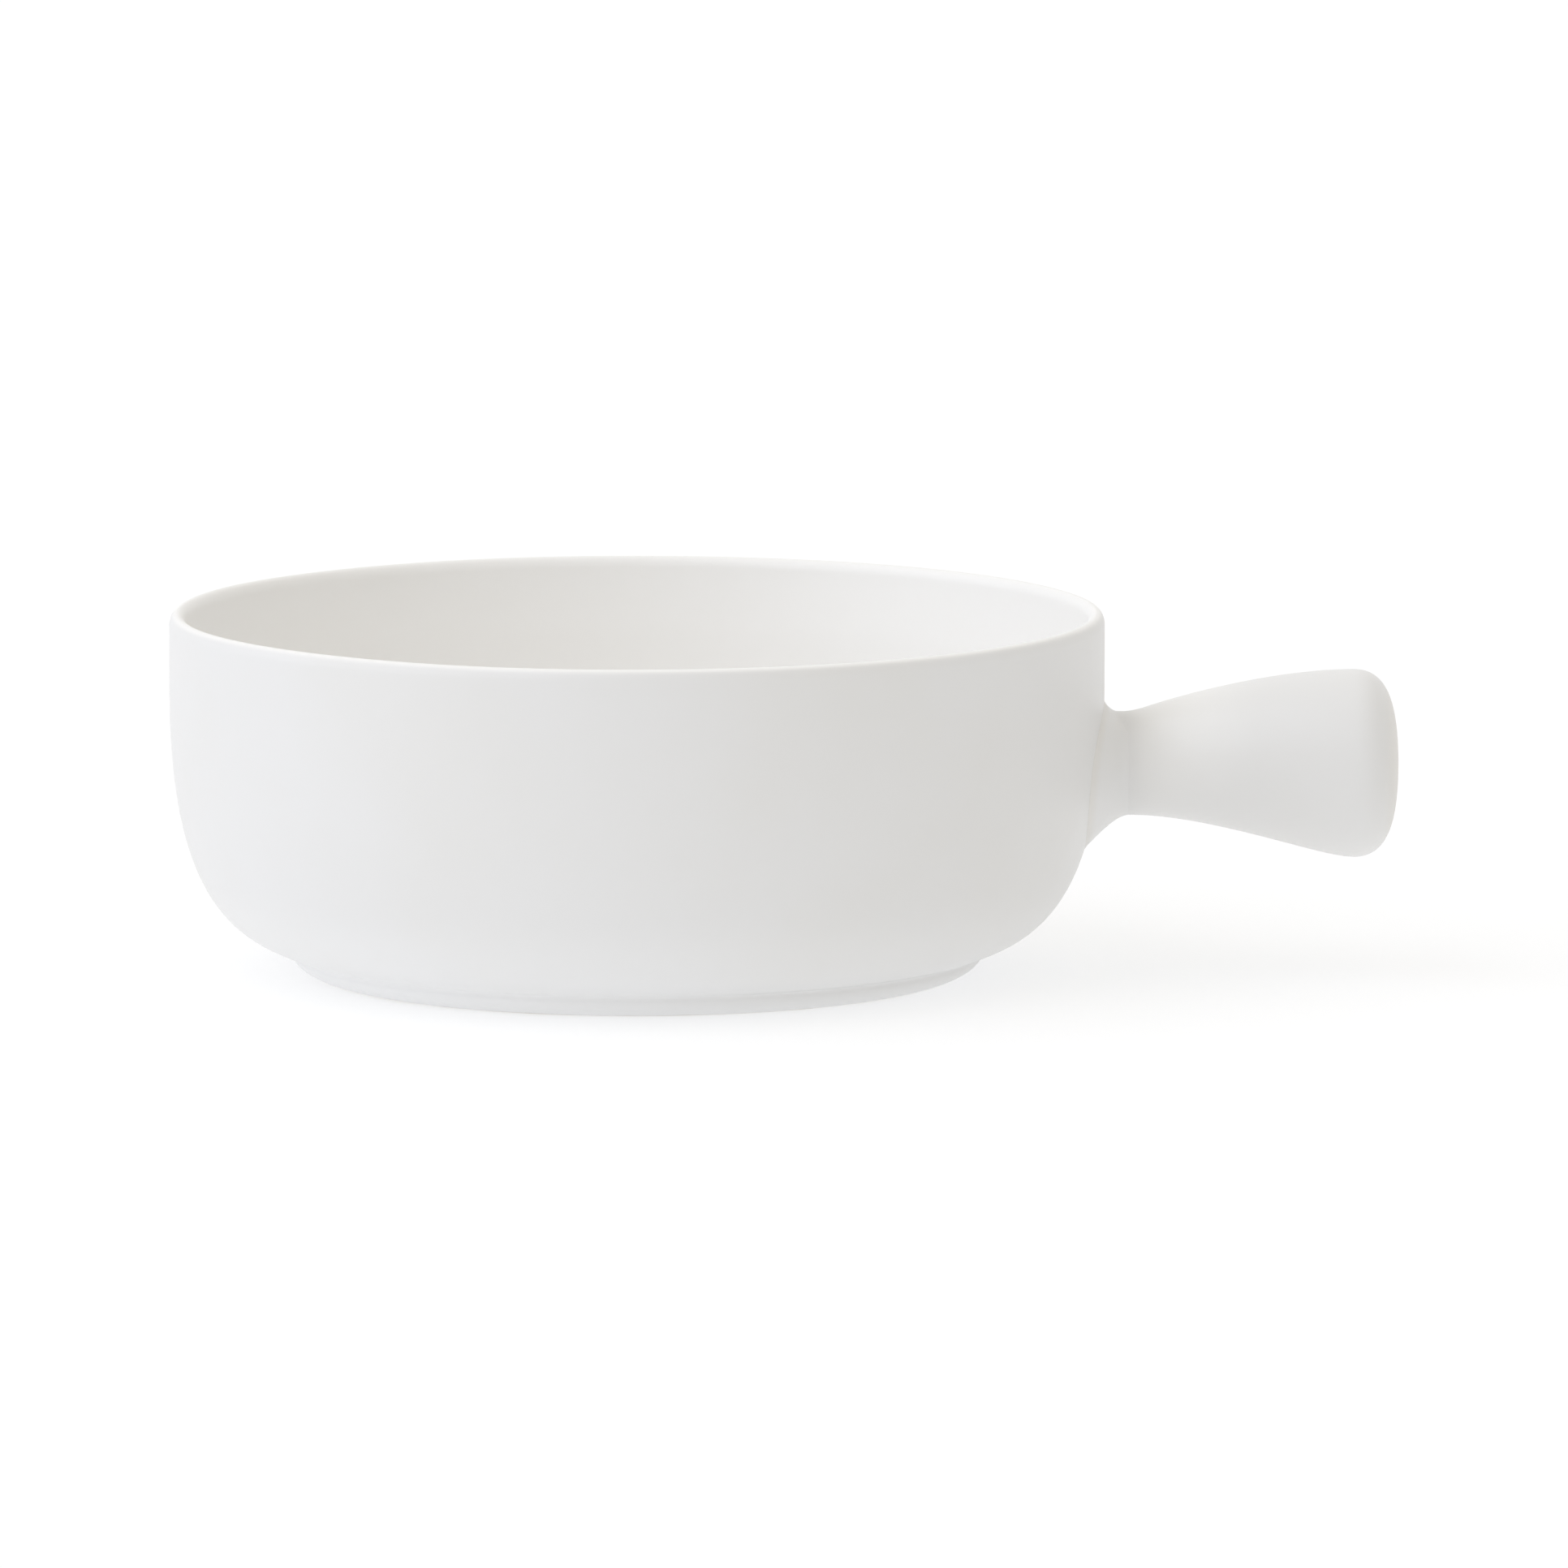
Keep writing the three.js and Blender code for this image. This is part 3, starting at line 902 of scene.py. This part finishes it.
class SALADBOWL_OT_foot(bpy.types.Operator):
    """Turn the foot ring, glazed outside and bare where it stands"""

    bl_idname = "salad_bowl.foot"
    bl_label = "Turn the Foot"

    def execute(self, context):
        bowl = context.scene.bowl_shape
        bm = turned(foot_profile(bowl), FOOT_STEPS, closed=True)
        bmesh.ops.transform(bm, matrix=upright_place(bowl), verts=bm.verts)

        def depth_at(spot):
            crease = fade(spot.z, bowl.foot_height - FOOT_POOL_DROP, bowl.foot_height)
            return GLAZE_EVEN + FOOT_POOL * crease

        def poured_and_lit_at(spot):
            # Painted light: the foot takes the whiter glaze to lift its shade near the floor
            return FOOT_PAINTED_LIGHT

        lay_glaze_and_painted_light(bm, GLAZE_AND_PAINTED_LIGHT_LAYER, depth_at)
        lay_glaze_and_painted_light(bm, POURED_AND_PAINTED_LIGHT_LAYER, poured_and_lit_at)
        clay = shared_material("foot_glaze_and_clay", foot_material, context.scene.glaze_look)
        finish_piece(bm, "turned_foot", "foot_ring", clay)
        return {"FINISHED"}


class SALADBOWL_OT_handle(bpy.types.Operator):
    """Turn the hollow handle, pierce its vent and glaze it"""

    bl_idname = "salad_bowl.handle"
    bl_label = "Cast the Handle"

    def execute(self, context):
        bowl = context.scene.bowl_shape
        handle = context.scene.handle_shape
        casting = turned(handle_profile(bowl, handle), HANDLE_STEPS)
        draw_up_underside(casting, bowl, handle)
        bmesh.ops.transform(casting, matrix=handle_place(bowl, handle), verts=casting.verts)
        bm = cut_away(casting, vent_punch(bowl, handle))
        shoulder = handle.tip_x - handle.grip_end / 2

        # The glaze layer here also carries painted light at the neck
        def depth_at(spot):
            # Thin glaze over the grip's end, also painted shade where the end turns from the light
            thinned_and_shaded = fade(spot.x, shoulder, handle.tip_x)
            return GLAZE_EVEN + NECK_PAINTED_LIGHT * painted_neck_light(bowl, handle, spot) - TIP_THIN_AND_SHADE * thinned_and_shaded

        lay_glaze_and_painted_light(bm, GLAZE_AND_PAINTED_LIGHT_LAYER, depth_at)
        glaze = shared_material("satin_white_glaze", glazed_material, context.scene.glaze_look)
        finish_piece(bm, "cast_handle", "handle", glaze)
        return {"FINISHED"}


class SALADBOWL_OT_collar(bpy.types.Operator):
    """Work the clay collar round the handle's root and glaze it"""

    bl_idname = "salad_bowl.collar"
    bl_label = "Work the Collar"

    def execute(self, context):
        bowl = context.scene.bowl_shape
        handle = context.scene.handle_shape
        bm = turned(collar_profile(handle), COLLAR_STEPS, closed=True)
        shape_collar(bm, bowl, handle)
        bmesh.ops.recalc_face_normals(bm, faces=bm.faces)
        bmesh.ops.transform(bm, matrix=handle_place(bowl, handle), verts=bm.verts)
        wall = outer_wall(bowl)

        # The glaze layer here also carries painted light towards the neck
        def depth_at(spot):
            # Painted shade in the crease where the collar meets the wall
            away = math.hypot(spot.x - bowl.axis_x, spot.y) - radius_at(wall, spot.z)
            thinned_and_shaded = 1.0 - fade(away, 0.0, COLLAR_SHADE_REACH)
            return GLAZE_EVEN + NECK_PAINTED_LIGHT * painted_neck_light(bowl, handle, spot) - COLLAR_SHADE * thinned_and_shaded

        lay_glaze_and_painted_light(bm, GLAZE_AND_PAINTED_LIGHT_LAYER, depth_at)
        glaze = shared_material("satin_white_glaze", glazed_material, context.scene.glaze_look)
        finish_piece(bm, "worked_collar", "handle_collar", glaze)
        return {"FINISHED"}


class SALADBOWL_OT_stage(bpy.types.Operator):
    """Lay the pale floor and set the soft light and the camera"""

    bl_idname = "salad_bowl.stage"
    bl_label = "Set the Stage"

    def execute(self, context):
        look = context.scene.stage_look
        self.lay_floor(context, look)
        self.fill_room(context, look)
        self.hang_key(context, look)
        self.place_camera(context, look)
        context.scene.view_settings.view_transform = "Standard"
        return {"FINISHED"}

    def lay_floor(self, context, look):
        """A wide pale disc that fades out far from the bowl."""
        bm = bmesh.new()
        bmesh.ops.create_circle(bm, cap_ends=True, segments=FLOOR_STEPS, radius=look.floor_radius)
        mesh = bpy.data.meshes.new("pale_floor")
        bm.to_mesh(mesh)
        bm.free()
        mesh.materials.append(floor_material("pale_floor", look))
        floor = bpy.data.objects.new("pale_floor", mesh)
        context.scene.collection.objects.link(floor)

    def fill_room(self, context, look):
        """Light from all round that grows towards the top, and white behind the bowl."""
        world = bpy.data.worlds.new("soft_room")
        world.use_nodes = True
        context.scene.world = world
        tree = world.node_tree
        background = tree.nodes["Background"]
        split = tree.nodes.new("ShaderNodeSeparateXYZ")
        feed(tree, split.inputs["Vector"], tree.nodes.new("ShaderNodeTexCoord").outputs["Generated"])
        height = add_math(tree, "DIVIDE", split.outputs["Z"], look.room_top)
        room = add_mix(tree, "RGBA", height, solid_colour(look.room_low), solid_colour(look.room_high))
        feed(tree, background.inputs["Color"], add_mix(tree, "RGBA", add_direct_sight(tree), room, WHITE))

    def hang_key(self, context, look):
        """One large soft lamp high on the left."""
        lamp = bpy.data.lights.new("soft_key", "SUN")
        lamp.energy = look.key_strength
        lamp.color = look.key_colour
        lamp.angle = look.key_softness
        key = bpy.data.objects.new("soft_key", lamp)
        level = math.cos(look.key_height)
        left = level * math.sin(look.key_side)
        front = level * math.cos(look.key_side)
        towards = Vector((-left, -front, math.sin(look.key_height)))
        key.rotation_euler = towards.to_track_quat("Z", "Y").to_euler()
        context.scene.collection.objects.link(key)

    def place_camera(self, context, look):
        """A long lens, low in front of the bowl, with the handle to the right."""
        lens = bpy.data.cameras.new("camera")
        lens.sensor_width = FILM_WIDTH
        lens.lens = FILM_WIDTH * look.camera_distance / look.frame_width
        lens.clip_end = SIGHT
        camera = bpy.data.objects.new("camera", lens)
        back = Vector((0.0, -math.cos(look.camera_height), math.sin(look.camera_height)))
        camera.location = Vector((0.0, 0.0, look.aim_height)) + back * look.camera_distance
        camera.rotation_euler = back.to_track_quat("Z", "Y").to_euler()
        context.scene.collection.objects.link(camera)
        context.scene.camera = camera


class SALADBOWL_PT_workshop(bpy.types.Panel):
    """Sizes, finishes and steps of the bowl"""

    bl_idname = "SALADBOWL_PT_workshop"
    bl_label = "Salad Bowl"
    bl_space_type = "VIEW_3D"
    bl_region_type = "UI"
    bl_category = "Salad Bowl"

    def draw(self, context):
        layout = self.layout
        for group in SETTINGS:
            settings = getattr(context.scene, group)
            box = layout.box()
            for name in settings.__annotations__:
                box.prop(settings, name)
        for step in STEPS:
            layout.operator(step.bl_idname)


SETTINGS = {
    "bowl_shape": BowlShape,
    "handle_shape": HandleShape,
    "glaze_look": GlazeLook,
    "stage_look": StageLook,
}
STEPS = (
    SALADBOWL_OT_stage,
    SALADBOWL_OT_shell,
    SALADBOWL_OT_foot,
    SALADBOWL_OT_handle,
    SALADBOWL_OT_collar,
)
CLASSES = (*SETTINGS.values(), *STEPS, SALADBOWL_PT_workshop)


def register():
    """Makes the settings, the steps and the panel known."""
    for cls in CLASSES:
        bpy.utils.register_class(cls)
    for name, cls in SETTINGS.items():
        setattr(bpy.types.Scene, name, PointerProperty(type=cls))


def unregister():
    """Takes them away again."""
    for name in SETTINGS:
        delattr(bpy.types.Scene, name)
    for cls in reversed(CLASSES):
        bpy.utils.unregister_class(cls)


def main():
    """Makes the bowl piece by piece on its stage."""
    register()
    bpy.ops.salad_bowl.stage()
    bpy.ops.salad_bowl.shell()
    bpy.ops.salad_bowl.foot()
    bpy.ops.salad_bowl.handle()
    bpy.ops.salad_bowl.collar()


if __name__ == "__main__":
    main()
